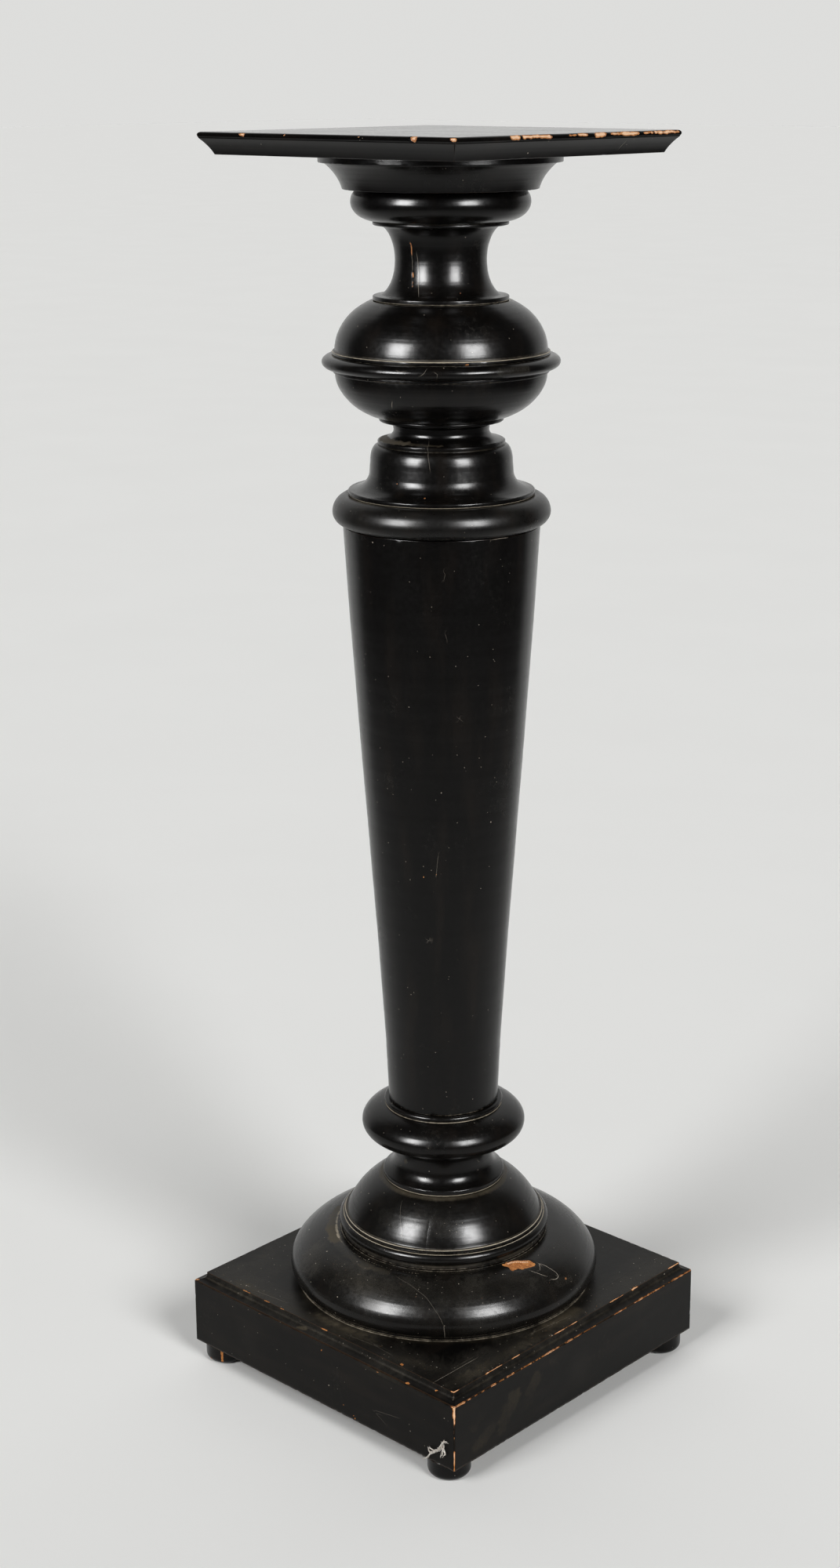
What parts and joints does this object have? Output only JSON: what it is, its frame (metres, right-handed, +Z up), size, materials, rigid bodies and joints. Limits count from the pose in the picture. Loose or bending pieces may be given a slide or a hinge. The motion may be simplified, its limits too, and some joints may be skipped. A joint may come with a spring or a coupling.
{
  "type": "display plinth",
  "caption": "Tall ebonised wooden pedestal: a tapering turned column with ball, neck and collars, between a square moulded top and a boxed square plinth on bun feet.",
  "frame": {"origin": "on the floor under the middle of the plinth, in the plane of the feet's undersides", "axes": "+Z up along the turning axis, +X and +Y square to the plinth's sides; the corner nearest the camera in the source view is +X -Y"},
  "size_m": [0.33, 0.33, 1.115],
  "materials": {
    "ebonised_turning": "satin black stain and polish over lathe-turned hardwood, worn brown on sharp edges",
    "ebonised_board": "satin black stain and polish over sawn boards, scuffed, with bare wood on worn arrises",
    "bare_wood": "unfinished, darkened with age",
    "screw_steel": "dull, lightly tarnished"
  },
  "bodies": {
    "root": {"top_board": "ebonised_board", "top_flange": "ebonised_turning", "neck": "ebonised_turning", "upper_ball": "ebonised_turning", "ball_band": "ebonised_turning", "lower_ball": "ebonised_turning", "bell": "ebonised_turning", "collar": "ebonised_turning", "shaft": "ebonised_turning", "lower_knop": "ebonised_turning", "dome": "ebonised_turning", "base_torus": "ebonised_turning", "plinth_board": "ebonised_board", "plinth_board_strip": "ebonised_board", "rail_left_front": "ebonised_board", "rail_right_front": "ebonised_board", "rail_right_back": "ebonised_board", "rail_left_back": "ebonised_board", "foot_near": "ebonised_turning", "foot_right": "ebonised_turning", "foot_far": "ebonised_turning", "foot_left": "ebonised_turning", "corner_block_near": "bare_wood", "corner_block_right": "bare_wood", "corner_block_far": "bare_wood", "corner_block_left": "bare_wood", "top_screw_1": "screw_steel", "top_screw_2": "screw_steel", "top_screw_3": "screw_steel", "top_screw_4": "screw_steel", "base_screw_1": "screw_steel", "base_screw_2": "screw_steel", "base_screw_3": "screw_steel", "base_screw_4": "screw_steel"}
  },
  "joints": []
}
